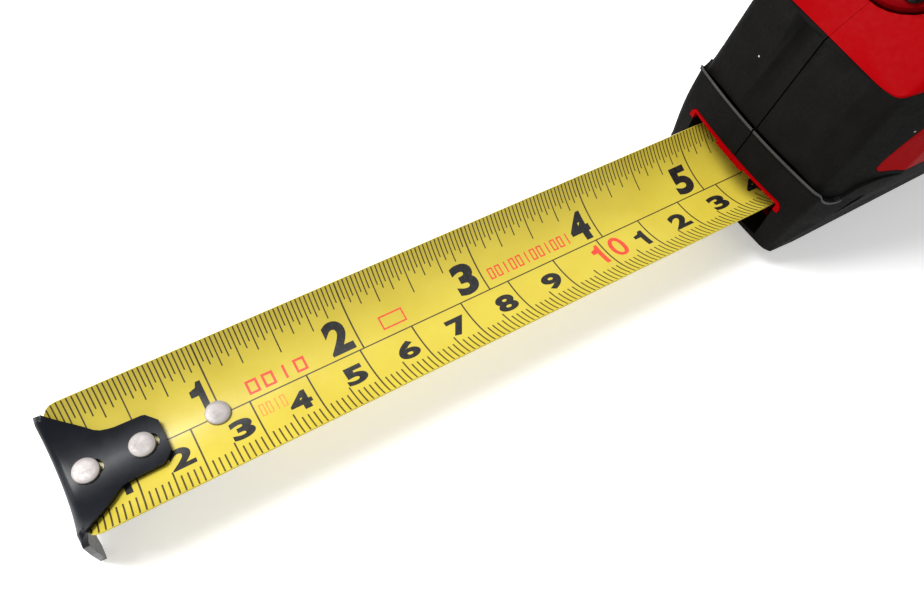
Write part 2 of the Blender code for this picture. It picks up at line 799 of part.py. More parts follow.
def build():
    clear_scene()
    make_shells()
    make_skins()
    make_blade()
    make_backing()
    make_hook()
    for name, x in RIVETS.items():
        make_rivet(name, x)
    make_coil()
    make_drum()
    make_cap()
    make_power_spring()
    make_arbor()
    make_lock()
    make_grip()
    make_brake_pad()
    make_detent_spring()
    make_clip()
    for name, (x, z, _) in SCREWS.items():
        make_side_screw(name, x, z, SCREW_HEAD_Y, -9.0)
    make_side_screw("arbor_screw", REEL_X, REEL_Z, 19.0, 8.5, 2.8)
    make_side_screw("clip_screw", CLIP_X, CLIP_SCREW_Z, 22.4, 17.6, 3.0)


build()
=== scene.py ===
import math

import bmesh
import bpy
from mathutils import Matrix, Vector


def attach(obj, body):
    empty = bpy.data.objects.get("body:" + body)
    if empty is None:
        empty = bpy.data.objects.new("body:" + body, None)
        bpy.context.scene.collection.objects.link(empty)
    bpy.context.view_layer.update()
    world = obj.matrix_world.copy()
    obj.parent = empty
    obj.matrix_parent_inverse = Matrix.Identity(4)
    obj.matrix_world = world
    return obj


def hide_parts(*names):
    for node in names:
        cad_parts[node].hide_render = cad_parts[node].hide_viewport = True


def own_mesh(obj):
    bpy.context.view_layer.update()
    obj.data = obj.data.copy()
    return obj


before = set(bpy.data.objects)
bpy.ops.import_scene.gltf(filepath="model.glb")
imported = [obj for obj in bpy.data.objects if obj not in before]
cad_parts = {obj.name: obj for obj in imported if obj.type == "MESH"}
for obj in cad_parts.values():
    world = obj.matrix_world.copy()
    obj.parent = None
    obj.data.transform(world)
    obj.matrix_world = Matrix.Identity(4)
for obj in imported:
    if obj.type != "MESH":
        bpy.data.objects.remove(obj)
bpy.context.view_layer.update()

MM = 0.001                   # all shapes below are given in millimetres
FAR = 200.0

# Sizes of the CAD frame; the raised line and the rim are a little finer here
CASE_CORNERS = [
    (-27.0, 0.0, 3.0), (39.1, 0.0, 9.0), (39.1, 71.0, 21.0), (-2.4, 71.0, 18.0),
    (-30.2, 48.1, 3.0), (-33.3, 45.1, 1.2), (-39.0, 17.0, 1.5), (-39.1, 5.6, 2.0),
]
CASE_HALF = 21.5
FLAT_HALF = 16.7
CHAMFER = 4.5
BASE_HALF = 15.4
LEAN = math.radians(12.7)
KNEE_Z = 17.0
FRONT_X = -38.75
FRONT_RAKE = 0.2028
FRONT_HALF = 16.2
CROWN = 1.2
SPREAD = math.radians(22)
UPPER_BACK = 0.45
COLLAR_WIDTHS = [(-5.0, 15.0), (5.0, 15.8), (12.0, 16.5), (17.0, 16.82), (26.0, 17.4),
                 (40.0, 17.4)]
COLLAR_SPREAD = math.radians(17)
COLLAR_TOP = [
    (-60.0, 24.6), (-37.4, 24.6), (-36.4, 23.3), (-35.2, 22.3), (-34.0, 21.9),
    (-32.8, 22.0), (-31.6, 22.8), (-30.4, 24.7), (-28.7, 26.1), (-26.2, 27.2),
    (-23.0, 27.8), (-17.0, 28.0),
]
BEAD = 0.8
BEAD_OUT = 0.28
SKIN = 1.5
GAP = 0.3
SEAM_Y = -0.5
SPINE_HALF = 18.5
SPINE_EDGE = [(-60.0, 45.1), (-33.0, 45.1), (-31.2, 46.4), (-28.4, 47.6),
              (-20.0, 53.6), (-8.0, 61.0)]
SPINE_BACK_X = 24.0
MOUTH_HALF = 12.4
MOUTH_Z = (6.9, 16.9)
RIM = 1.1
RIM_Z = (15.4, 17.45)
RIM_OUT = 0.2
LIP = (-3.5, 4.3, 16.3)
THROAT = 0.9
THROAT_X = -34.0
BLADE_Z = 8.5
BLADE_HALF = 12.5
BLADE_CORNER = 2.4           # radius of the blade's end corners
BLADE_THICK = 0.2
BEND = 15.85                 # radius of the curve across the blade
PRINT_HALF = 12.38           # printed lines stop just short of the edge
PRINT_END_X = -33.0          # and inside the mouth
ZERO_X = -170.1
BLADE_END_X = ZERO_X + 1.5
STRIP_END_X = -11.0
HOOK_HALF = 11.3
RIVETS = {"rivet_front": 4.0, "rivet_middle": 12.7, "rivet_rear": 24.8}
REEL = (6.4, 36.6)           # axis of the reel, x and z
COIL = (17.7, 27.2)          # inner and outer radius of the wound blade
SLOPE_X, SLOPE_Z = -27.3, 50.3
SLOPE_ANGLE = math.radians(39.5)
CLIP_X = 6.4
CLIP_SCREW_Z = 49.0
SCREWS = {"case_screw_front": (-24.3, 24.5, 17.2), "case_screw_top": (28.6, 59.0, 17.1),
          "case_screw_rear": (32.5, 15.0, 15.9)}
SCREW_HEAD_Y = 15.6
PANEL = [
    (-28.6, 29.5), (-24.5, 28.7), (-19.0, 28.3), (-8.0, 27.8), (3.0, 27.5),
    (14.0, 28.0), (23.0, 30.8), (28.0, 37.5), (27.0, 46.5), (20.5, 54.0),
    (10.5, 58.2), (-2.0, 58.0), (-12.5, 53.2), (-20.0, 46.8), (-25.0, 39.2),
]


def place_in_scene(obj):
    bpy.context.scene.collection.objects.link(obj)
    return obj


# ---- camera
def make_camera():
    right = Vector((0.8549, -0.5068, 0.1108)).normalized()
    up = Vector((0.4005, 0.7805, 0.4801))
    up = (up - right * up.dot(right)).normalized()
    back = right.cross(up)
    turn = Matrix((right, up, back)).transposed().to_4x4()
    place = Vector((20.48 + ZERO_X, -56.04, 130.22 + BLADE_Z)) * MM
    camera = bpy.data.objects.new("camera", bpy.data.cameras.new("camera"))
    camera.data.sensor_width = 36.0
    camera.data.lens = 36.0 * 842.45 / 924.0
    camera.data.clip_start = 0.005
    camera.data.clip_end = 20.0
    camera.matrix_world = Matrix.Translation(place) @ turn
    place_in_scene(camera)
    bpy.context.scene.camera = camera


def area_light(name, place, target, size, power):
    data = bpy.data.lights.new(name, "AREA")
    data.shape = "RECTANGLE"
    data.size, data.size_y = size
    data.energy = power
    light = bpy.data.objects.new(name, data)
    place, target = Vector(place), Vector(target)
    light.matrix_world = (Matrix.Translation(place)
                          @ (place - target).to_track_quat("Z", "Y").to_matrix().to_4x4())
    place_in_scene(light)


def make_studio():
    world = bpy.data.worlds.new("studio")
    bpy.context.scene.world = world
    world.use_nodes = True
    world.node_tree.nodes["Background"].inputs["Color"].default_value = (1, 1, 1, 1)
    world.node_tree.nodes["Background"].inputs["Strength"].default_value = 0.42
    area_light("key", (-0.40, 0.28, 0.70), (-0.09, 0, 0.02), (0.40, 0.32), 8.6)
    area_light("fill", (-0.70, 0.30, 0.30), (-0.10, 0, 0.02), (0.4, 0.3), 1.0)
    floor = mesh_object("floor", [(-3000, -3000, -0.05), (3000, -3000, -0.05),
                                  (3000, 3000, -0.05), (-3000, 3000, -0.05)],
                        [(0, 1, 2, 3)])
    floor.data.materials.append(MATERIALS["floor"])
    bpy.context.scene.view_settings.view_transform = "Standard"


# ---- mesh helpers
def mesh_object(name, points, faces):
    mesh = bpy.data.meshes.new(name)
    mesh.from_pydata([Vector(p) * MM for p in points], [], faces)
    mesh.validate()
    obj = bpy.data.objects.new(name, mesh)
    return place_in_scene(obj)


def discard(obj):
    mesh = obj.data
    bpy.data.objects.remove(obj, do_unlink=True)
    bpy.data.meshes.remove(mesh)


def apply_modifiers(obj):
    bpy.context.view_layer.update()
    seen = obj.evaluated_get(bpy.context.evaluated_depsgraph_get())
    result = bpy.data.meshes.new_from_object(seen)
    obj.modifiers.clear()
    old = obj.data
    obj.data = result
    bpy.data.meshes.remove(old)
    return obj


def combine(target, other, operation, keep):
    step = target.modifiers.new("combine", "BOOLEAN")
    step.operation = operation
    step.solver = "EXACT"
    step.object = other
    apply_modifiers(target)
    if not keep:
        discard(other)
    return target


def cut(target, other):
    return combine(target, other, "DIFFERENCE", False)


def join(target, other):
    return combine(target, other, "UNION", False)


def common(target, other, keep=False):
    return combine(target, other, "INTERSECT", keep)


def duplicate(obj, name):
    copy = bpy.data.objects.new(name, obj.data.copy())
    return place_in_scene(copy)


def stack(rings):
    count = len(rings[0])
    points = [p for ring in rings for p in ring]
    faces = []
    for level in range(len(rings) - 1):
        a = level * count
        for i in range(count):
            j = (i + 1) % count
            faces.append((a + i, a + j, a + count + j, a + count + i))
    faces.append(tuple(reversed(range(count))))
    faces.append(tuple(range((len(rings) - 1) * count, len(rings) * count)))
    return points, faces


def signed_area(outline):
    pairs = zip(outline, outline[1:] + outline[:1])
    return sum(ax * by - bx * ay for (ax, ay), (bx, by) in pairs) / 2


def prism(outline, low, high, place):
    if signed_area(outline) < 0:
        outline = outline[::-1]
    points, faces = stack([[place(a, b, h) for a, b in outline] for h in (low, high)])
    ends = [Vector(place(*p)) for p in ((0, 0, 0), (1, 0, 0), (0, 1, 0), (0, 0, 1))]
    first, second, third = (ends[i] - ends[0] for i in (1, 2, 3))
    if first.cross(second).dot(third) < 0:
        faces = [tuple(reversed(face)) for face in faces]
    return mesh_object("prism", points, faces)


def along_y(a, b, h):
    return (a, h, b)


def along_z(a, b, h):
    return (a, b, h)


def along_x(a, b, h):
    return (h, a, b)


def on_slope(s, n, y):
    up, out = math.cos(SLOPE_ANGLE), math.sin(SLOPE_ANGLE)
    return (SLOPE_X + s * up - n * out, y, SLOPE_Z + s * out + n * up)


def across_slope(s, y, n):
    return on_slope(s, n, y)


def box(x0, x1, y0, y1, z0, z1):
    return prism([(x0, y0), (x1, y0), (x1, y1), (x0, y1)], z0, z1, along_z)


def circle(a, b, radius, steps):
    turn = 2 * math.pi / steps
    return [(a + radius * math.cos(turn * i), b + radius * math.sin(turn * i))
            for i in range(steps)]


def rod_y(x, z, radius, low, high, steps=40):
    return prism(circle(x, z, radius, steps), low, high, along_y)


def inset(corners, distance):
    lines = []
    for (ax, ay), (bx, by) in zip(corners, corners[1:] + corners[:1]):
        length = math.hypot(bx - ax, by - ay)
        nx, ny = -(by - ay) / length, (bx - ax) / length
        lines.append((nx, ny, nx * ax + ny * ay + distance))
    moved = []
    for (a, b, c), (d, e, f) in zip(lines[-1:] + lines[:-1], lines):
        scale = a * e - b * d
        moved.append(((c * e - b * f) / scale, (a * f - c * d) / scale))
    return moved


def rounded(corners, radii, steps=6):
    outline = []
    count = len(corners)
    for i, radius in enumerate(radii):
        here = Vector(corners[i])
        before = (Vector(corners[i - 1]) - here).normalized()
        after = (Vector(corners[(i + 1) % count]) - here).normalized()
        half = before.angle(after) / 2
        centre = here + (before + after).normalized() * radius / math.sin(half)
        start = here + before * radius / math.tan(half) - centre
        end = here + after * radius / math.tan(half) - centre
        for k in range(steps + 1):
            arm = start.lerp(end, k / steps).normalized() * radius
            outline.append(tuple(centre + arm))
    return outline


def smooth_closed(points, per_span=4):
    """Closed Catmull-Rom curve through the points."""
    out = []
    count = len(points)
    for i in range(count):
        a, b, c, d = (Vector(points[(i + k) % count]) for k in (-1, 0, 1, 2))
        for k in range(per_span):
            t = k / per_span
            out.append(tuple(0.5 * ((2 * b) + (c - a) * t + (2 * a - 5 * b + 4 * c - d) * t ** 2
                                    + (3 * b - 3 * c + d - a) * t ** 3)))
    return out


def finish(obj, name, material, body, nodes=(), bevel=0.0, segments=2, angle=30):
    """Names and dresses a piece, softens its edges and ties it to its body."""
    obj.name = name
    obj.data.name = name
    obj.data.materials.clear()
    obj.data.materials.append(MATERIALS[material])
    if bevel:
        step = obj.modifiers.new("edges", "BEVEL")
        step.width = bevel * MM
        step.segments = segments
        step.limit_method = "ANGLE"
        step.angle_limit = math.radians(angle)
        step.use_clamp_overlap = True
        step.harden_normals = False
    shade(obj)
    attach(obj, body)
    if nodes:
        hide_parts(*nodes)
    return obj


def shade(obj):
    obj.data.shade_smooth()
    obj.data.set_sharp_from_angle(angle=math.radians(35))


def face_outwards(obj, weld=False):
    """Turns all faces outwards, welding coincident points first where asked."""
    work = bmesh.new()
    work.from_mesh(obj.data)
    if weld:
        bmesh.ops.remove_doubles(work, verts=work.verts, dist=1e-7)
    bmesh.ops.recalc_face_normals(work, faces=work.faces)
    work.to_mesh(obj.data)
    work.free()
    return obj


# ---- materials
class Paint:
    """Short way to build a Principled material from nodes."""

    def __init__(self, name, colour, roughness, metallic=0.0):
        self.material = bpy.data.materials.new(name)
        self.material.use_nodes = True
        self.tree = self.material.node_tree
        self.shader = self.tree.nodes["Principled BSDF"]
        self.shader.inputs["Base Color"].default_value = (*colour, 1)
        self.shader.inputs["Roughness"].default_value = roughness
        self.shader.inputs["Metallic"].default_value = metallic
        self.space = self.tree.nodes.new("ShaderNodeTexCoord").outputs["Object"]

    def node(self, kind, inputs=None, **settings):
        node = self.tree.nodes.new(kind)
        for key, value in settings.items():
            setattr(node, key, value)
        for key, value in (inputs or {}).items():
            if isinstance(value, bpy.types.NodeSocket):
                self.tree.links.new(value, node.inputs[key])
            else:
                node.inputs[key].default_value = value
        return node

    def noise(self, scale, detail=3.0, rough=0.5, space=None):
        return self.node("ShaderNodeTexNoise", {"Vector": space or self.space, "Scale": scale,
                                                "Detail": detail, "Roughness": rough}
                         ).outputs["Fac"]

    def stretch(self, x, y, z):
        return self.node("ShaderNodeMapping", {"Vector": self.space, "Scale": (x, y, z)}
                         ).outputs["Vector"]

    def remap(self, value, low, high, to_low=0.0, to_high=1.0):
        return self.node("ShaderNodeMapRange", {"Value": value, "From Min": low,
                                                "From Max": high, "To Min": to_low,
                                                "To Max": to_high}).outputs["Result"]

    def math(self, operation, a, b=0.0):
        return self.node("ShaderNodeMath", {0: a, 1: b}, operation=operation).outputs[0]

    def mix(self, factor, a, b):
        node = self.node("ShaderNodeMix", data_type="RGBA")
        for socket, value in ((node.inputs[0], factor), (node.inputs[6], a),
                              (node.inputs[7], b)):
            if isinstance(value, bpy.types.NodeSocket):
                self.tree.links.new(value, socket)
            elif isinstance(value, tuple):
                socket.default_value = (*value, 1)
            else:
                socket.default_value = value
        return node.outputs[2]

    def colour(self, socket):
        self.tree.links.new(socket, self.shader.inputs["Base Color"])

    def rough(self, value, low, high):
        self.tree.links.new(self.remap(value, 0.3, 0.7, low, high),
                            self.shader.inputs["Roughness"])

    def bump(self, height, strength, distance):
        node = self.node("ShaderNodeBump", {"Height": height, "Strength": strength,
                                            "Distance": distance})
        self.tree.links.new(node.outputs["Normal"], self.shader.inputs["Normal"])

    def set(self, **values):
        for key, value in values.items():
            self.shader.inputs[key.replace("_", " ")].default_value = value
        return self


def plastic(name, colour, dark, roughness):
    paint = Paint(name, colour, roughness)
    cloud = paint.math("ADD", paint.noise(45.0), paint.math("MULTIPLY", paint.noise(1900.0), 0.3))
    paint.colour(paint.mix(paint.remap(cloud, 0.4, 0.9), colour, dark))
    paint.rough(paint.noise(900.0, 2.0), roughness - 0.05, roughness + 0.07)
    paint.bump(paint.noise(5200.0, 2.0, 0.6), 0.25, 0.00006)
    paint.shader.inputs["Specular IOR Level"].default_value = 0.012
    return paint.material


def rubber(name, colour, pale, shine=0.045):
    """Matt moulded rubber with a fine grain and a little dust."""
    paint = Paint(name, colour, 0.7)
    grain = paint.noise(3800.0, 3.0, 0.65)
    base = paint.mix(paint.remap(paint.noise(240.0, 4.0), 0.35, 0.75), colour, pale)
    cells = paint.node("ShaderNodeTexVoronoi", {"Vector": paint.space, "Scale": 420.0})
    near = paint.math("LESS_THAN", cells.outputs["Distance"], 0.075)
    chosen = paint.math("GREATER_THAN", paint.node(
        "ShaderNodeSeparateColor", {"Color": cells.outputs["Color"]}).outputs["Red"], 0.955)
    dust = paint.math("MULTIPLY", near, chosen)
    paint.colour(paint.mix(dust, base, (0.42, 0.40, 0.37)))
    paint.rough(paint.noise(1500.0, 2.0), 0.6, 0.74)
    paint.bump(grain, 0.45, 0.00009)
    paint.shader.inputs["Specular IOR Level"].default_value = shine
    return paint.material


def blade_paint(name, colour, deep):
    """Yellow enamel under a clear coat, a little mottled, with fine darker specks."""
    paint = Paint(name, colour, 0.34)
    mottled = paint.mix(paint.remap(paint.noise(130.0, 4.0), 0.3, 0.75), colour, deep)
    specks = paint.remap(paint.noise(2600.0, 2.0, 0.7), 0.66, 0.74)
    paint.colour(paint.mix(paint.math("MULTIPLY", specks, 0.35), mottled, (0.45, 0.36, 0.06)))
    paint.rough(paint.noise(500.0, 3.0), 0.28, 0.40)
    paint.bump(paint.noise(900.0, 2.0), 0.10, 0.00008)
    paint.set(Coat_Weight=0.35, Coat_Roughness=0.18)
    return paint.material


def ink(name, colour):
    paint = Paint(name, colour, 0.42)
    pale = tuple(min(1.0, c * 1.5 + 0.012) for c in colour)
    paint.colour(paint.mix(paint.remap(paint.noise(1800.0, 3.0, 0.7), 0.45, 0.75), colour, pale))
    paint.rough(paint.noise(700.0), 0.35, 0.48)
    paint.set(Coat_Weight=0.3, Coat_Roughness=0.2)
    return paint.material


def steel(name, colour, roughness, along=(60.0, 2500.0, 60.0), metallic=1.0):
    """Metal with fine drawn lines and uneven polish."""
    paint = Paint(name, colour, roughness, metallic)
    lines = paint.noise(1.0, 3.0, 0.6, paint.stretch(*along))
    dull = tuple(c * 0.72 for c in colour)
    paint.colour(paint.mix(paint.remap(paint.noise(350.0, 4.0), 0.35, 0.75), colour, dull))
    paint.rough(lines, roughness - 0.08, roughness + 0.12)
    paint.bump(lines, 0.12, 0.00003)
    return paint.material


def black_finish(name, shine):
    """Black finish on steel with a faint bluish bloom and rubbed spots."""
    paint = Paint(name, (0.012, 0.014, 0.02), 0.3)
    base = paint.mix(paint.remap(paint.noise(160.0, 4.0), 0.35, 0.7), (0.0035, 0.0045, 0.0075),
                     (0.006, 0.0075, 0.012))
    rubbed = paint.remap(paint.noise(900.0, 5.0, 0.7), 0.70, 0.80)
    paint.colour(paint.mix(paint.math("MULTIPLY", rubbed, 0.12), base, (0.10, 0.10, 0.11)))
    paint.rough(paint.noise(420.0, 3.0), 0.30, 0.42)
    paint.bump(paint.noise(1300.0, 3.0), 0.10, 0.00006)
    paint.shader.inputs["Specular IOR Level"].default_value = 0.3 * shine
    paint.set(Coat_Weight=0.2 * shine, Coat_Roughness=0.2)
    return paint.material


def floor_paint(name):
    paint = Paint(name, (0.9, 0.9, 0.9), 0.7)
    paint.colour(paint.mix(paint.noise(3.0), (0.90, 0.90, 0.90), (0.93, 0.93, 0.93)))
    paint.shader.inputs["Emission Color"].default_value = (1, 1, 1, 1)
    paint.shader.inputs["Emission Strength"].default_value = 0.40
    return paint.material


def make_materials():
    makers = {
        "red_plastic": (plastic, (0.27, 0.0001, 0.0014), (0.25, 0.0001, 0.0014), 0.42),
        # darker red than the case red: painted shade on the button sitting in its recess
        "lock_plastic": (plastic, (0.15, 0.0006, 0.002), (0.13, 0.0006, 0.002), 0.45),
        "reel_plastic": (plastic, (0.05, 0.05, 0.055), (0.035, 0.035, 0.04), 0.5),
        "black_rubber": (rubber, (0.0040, 0.0037, 0.0034), (0.0058, 0.0055, 0.0051)),
        # lighter grey than the black rubber: painted highlight along the raised line
        "line_rubber_painted_highlight": (rubber, (0.024, 0.024, 0.024), (0.034, 0.034, 0.034), 0.4),
        "grip_rubber": (rubber, (0.010, 0.010, 0.010), (0.016, 0.016, 0.016)),
        "blade_yellow": (blade_paint, (0.58, 0.475, 0.052), (0.53, 0.42, 0.040)),
        "coil_yellow": (blade_paint, (0.56, 0.45, 0.055), (0.47, 0.36, 0.04)),
        "ink_black": (ink, (0.008, 0.008, 0.008)),
        "ink_brown": (ink, (0.045, 0.033, 0.010)),
        "ink_red": (ink, (0.62, 0.055, 0.025)),
        "ink_orange": (ink, (0.60, 0.22, 0.035)),
        "black_steel": (black_finish, 0.5),
        "clip_steel": (black_finish, 1.0),
        "rivet_metal": (steel, (0.38, 0.35, 0.34), 0.55, (900.0, 900.0, 900.0), 0.45),
        "zinc_steel": (steel, (0.62, 0.62, 0.63), 0.34, (900.0, 900.0, 900.0)),
        "spring_steel": (steel, (0.40, 0.40, 0.42), 0.3),
        "floor": (floor_paint,),
    }
    for name, (maker, *values) in makers.items():
        MATERIALS[name] = maker(name, *values)


MATERIALS = {}


# ---- blade
def blade_point(x, a, lift):
    """Point above the printed side; a runs across the blade, towards +Y."""
    reach = BEND - lift
    angle = a / BEND
    return (x, reach * math.sin(angle), BLADE_Z + BEND - reach * math.cos(angle))


def blade_half_width(x):
    inside, corner = x - BLADE_END_X, BLADE_CORNER
    if inside >= corner:
        return BLADE_HALF
    return BLADE_HALF - corner + math.sqrt(corner ** 2 - (corner - inside) ** 2)


def squash_with_blade(obj):
    """Gives the drawn-out piece a mesh of its own; it does not shorten the strip into the mouth.
    """
    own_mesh(obj)


def strip_rings(stations):
    """Cross-sections of the strip: x, half width, how much flatter, how much higher."""
    rings, columns = [], 28
    for x, half, flatter, rise in stations:
        upper, lower = [], []
        for k in range(columns + 1):
            a = half * (2 * k / columns - 1)
            bend = BEND * flatter
            for ring, lift in ((upper, 0.15), (lower, 0.15 - BLADE_THICK)):
                reach = bend - lift
                height = BLADE_Z + rise + bend - reach * math.cos(a / bend)
                ring.append((x, reach * math.sin(a / bend), height))
        rings.append(upper + lower[::-1])
    return rings


def make_blade():
    stations = []
    for inside in (0.0, 0.08, 0.3, 0.65, 1.1, 1.7, 2.4, 6.0, 12.0, 25.0, 45.0, 70.0, 95.0,
                   120.0, 135.0):
        x = BLADE_END_X + inside
        stations.append((x, blade_half_width(x), 1.0, 0.0))
    stations += [(-26.0, BLADE_HALF, 1.08, 0.05), (-20.0, BLADE_HALF, 1.2, 0.12),
                 (STRIP_END_X, BLADE_HALF, 1.6, 0.25)]
    points, faces = stack(strip_rings(stations)[::-1])
    blade = finish(mesh_object("blade", points, faces), "blade_strip", "blade_yellow",
                   "blade", ["blade"])
    squash_with_blade(blade)
    stations = [(STRIP_END_X + 0.1, BLADE_HALF, 1.6, 0.25), (-6.0, BLADE_HALF, 3.0, 0.35),
                (0.0, BLADE_HALF, 12.0, 0.42), (REEL[0], BLADE_HALF, 60.0, 0.45)]
    points, faces = stack(strip_rings(stations)[::-1])
    finish(mesh_object("run", points, faces), "blade_inner_run", "blade_yellow", "case")


INK_LIFT = 0.15 + 0.012


def ink_strip(points, faces, x0, x1, a0, a1):
    """Adds one printed line, divided so that it follows the blade's curve."""
    steps = max(1, math.ceil(abs(a1 - a0) / 0.9))
    base = len(points)
    for k in range(steps + 1):
        a = a0 + (a1 - a0) * k / steps
        points.append(blade_point(x0, a, INK_LIFT))
        points.append(blade_point(x1, a, INK_LIFT))
    for k in range(steps):
        i = base + 2 * k
        faces.append((i, i + 1, i + 3, i + 2))


def make_ticks():
    """Inch scale in 32nds on the far edge, millimetres on the near edge, dividing line."""
    points, faces = [], []
    last = PRINT_END_X - ZERO_X
    lengths = {32: 11.99, 16: 7.5, 8: 6.5, 4: 5.5, 2: 4.5, 1: 3.6}
    for i in range(2, int(last / 25.4 * 32) + 1):
        x = ZERO_X + i * 25.4 / 32
        step = max(d for d in lengths if i % d == 0)
        start = min(PRINT_HALF, blade_half_width(x) - 0.12)
        end = -0.45 if step == 32 else BLADE_HALF - lengths[step]
        wide = 0.14 if step == 32 else 0.11
        ink_strip(points, faces, x - wide, x + wide, start, end)
    for i in range(2, int(last) + 1):
        x = ZERO_X + i
        low = -min(PRINT_HALF, blade_half_width(x) - 0.12)
        if i % 10 == 0:
            end, wide = -0.45, 0.14
        elif i % 5 == 0:
            end, wide = -6.5, 0.13
        else:
            end, wide = -8.0, 0.13
        ink_strip(points, faces, x - wide, x + wide, low, end)
    x = BLADE_END_X + 0.3
    while x < PRINT_END_X:
        ink_strip(points, faces, x, min(x + 10.0, PRINT_END_X), -0.58, -0.34)
        x += 10.0
    ticks = mesh_object("ticks", points, faces)
    finish(ticks, "scale_ticks", "ink_brown", "blade")
    squash_with_blade(ticks)


def flat_text(text, bold):
    """Mesh of a word in the built-in face, in text units, lower left at zero."""
    curve = bpy.data.curves.new("text", "FONT")
    curve.body = text
    curve.size = 1.0
    curve.offset = bold
    curve.resolution_u = 5
    source = bpy.data.objects.new("text", curve)
    place_in_scene(source)
    bpy.context.view_layer.update()
    seen = source.evaluated_get(bpy.context.evaluated_depsgraph_get())
    mesh = bpy.data.meshes.new_from_object(seen)
    bpy.data.objects.remove(source, do_unlink=True)
    bpy.data.curves.remove(curve)
    return mesh


FIGURE_ONE = [(0.52, 0.0), (1.0, 0.0), (1.0, 1.0), (0.66, 1.0), (0.5, 0.86), (0.0, 0.80),
              (0.0, 0.62), (0.52, 0.62)]


def figure_mesh(digit):
    """One bold digit; the 1 is drawn, as the built-in face has a thin one."""
    if digit != 1:
        return flat_text(str(digit), 0.045)
    mesh = bpy.data.meshes.new("figure")
    mesh.from_pydata([(a, b, 0) for a, b in FIGURE_ONE], [], [tuple(range(len(FIGURE_ONE)))])
    return mesh


def fit_figure(work, mesh, x0, x1, a0, a1):
    """Scales a flat figure into a box on the blade and bends it onto the curve."""
    flat = bmesh.new()
    flat.from_mesh(mesh)
    bpy.data.meshes.remove(mesh)
    xs = [v.co.x for v in flat.verts]
    ys = [v.co.y for v in flat.verts]
    for v in flat.verts:
        v.co.x = x0 + (v.co.x - min(xs)) / (max(xs) - min(xs)) * (x1 - x0)
        v.co.y = a0 + (v.co.y - min(ys)) / (max(ys) - min(ys)) * (a1 - a0)
    level = a0 + 0.8
    while level < a1:
        parts = flat.verts[:] + flat.edges[:] + flat.faces[:]
        bmesh.ops.bisect_plane(flat, geom=parts, plane_co=(0, level, 0), plane_no=(0, 1, 0))
        level += 0.8
    bmesh.ops.triangulate(flat, faces=flat.faces[:])
    lookup = {}
    for v in flat.verts:
        lookup[v] = work.verts.new(Vector(blade_point(v.co.x, v.co.y, INK_LIFT)) * MM)
    for face in flat.faces:
        corners = [lookup[v] for v in face.verts]
        if face.normal.z < 0:
            corners.reverse()
        work.faces.new(corners)
    flat.free()


def print_figures(work, name, ink_name):
    mesh = bpy.data.meshes.new("figures")
    work.to_mesh(mesh)
    work.free()
    figures = bpy.data.objects.new("figures", mesh)
    place_in_scene(figures)
    finish(figures, name, ink_name, "blade")
    squash_with_blade(figures)


def make_figures():
    """Inch figures above the dividing line, centimetre figures below it."""
    work = bmesh.new()
    for inch in range(1, 6):
        right = ZERO_X + inch * 25.4 - 1.0
        wide = 2.3 if inch == 1 else 4.3
        fit_figure(work, figure_mesh(inch), right - wide, right, 0.3, 6.4)
    for cm in range(1, 14):
        if cm == 10:
            continue
        right = ZERO_X + cm * 10 - 1.0
        wide = 2.3 if cm % 10 == 1 else 3.8
        fit_figure(work, figure_mesh(cm % 10), right - wide, right, -6.7, -2.6)
    fit_figure(work, figure_mesh(4), ZERO_X + 134.4, ZERO_X + 138.2, -6.7, -2.6)
    print_figures(work, "scale_figures", "ink_black")
    ten = ZERO_X + 100.0
    work = bmesh.new()
    fit_figure(work, figure_mesh(1), ten - 2.6, ten - 0.7, -6.4, -1.4)
    fit_figure(work, flat_text("0", 0.012), ten + 1.1, ten + 4.3, -6.4, -1.4)
    print_figures(work, "ten_figure", "ink_red")


def print_box(points, faces, x0, x1, a0, a1, stroke):
    """Hollow rectangle standing in for a printed letter."""
    ink_strip(points, faces, x0, x0 + stroke, a0, a1)
    ink_strip(points, faces, x1 - stroke, x1, a0, a1)
    ink_strip(points, faces, x0 + stroke, x1 - stroke, a0, a0 + stroke)
    ink_strip(points, faces, x0 + stroke, x1 - stroke, a1 - stroke, a1)


def print_row(points, faces, start, end, count, low, high, stroke):
    """Row of plain boxes and bars where the blade carries small print."""
    pitch = (end - start) / count
    for k in range(count):
        x = ZERO_X + start + pitch * k
        if k % 3 == 2:
            ink_strip(points, faces, x + pitch * 0.3, x + pitch * 0.3 + stroke, low, high)
        else:
            print_box(points, faces, x, x + pitch * 0.72, low, high, stroke)


def make_marks():
    points, faces = [], []
    print_row(points, faces, 30.5, 41.8, 4, 0.5, 3.0, 0.42)
    print_row(points, faces, 77.6, 96.0, 12, 1.1, 3.4, 0.27)
    print_box(points, faces, ZERO_X + 55.4, ZERO_X + 60.0, 1.0, 3.6, 0.28)
    marks = finish(mesh_object("marks", points, faces), "red_marks", "ink_red", "blade")
    squash_with_blade(marks)
    points, faces = [], []
    print_row(points, faces, 30.8, 35.6, 4, -4.2, -1.8, 0.2)
    marks = finish(mesh_object("marks", points, faces), "orange_marks", "ink_orange", "blade")
    squash_with_blade(marks)


# ---- case
RIM_PROFILE = rounded([(0.0, 0.0), (FLAT_HALF, 0.0), (CASE_HALF, CHAMFER), (CASE_HALF, 12.0),
                       (0.0, 12.0)], [0.1, 2.6, 2.6, 0.1, 0.1], 5)[6:18]


def case_outline(distance):
    corners = inset([(x, z) for x, z, _ in CASE_CORNERS], distance)
    return rounded(corners, [max(r - distance, 0.3) for _, _, r in CASE_CORNERS])


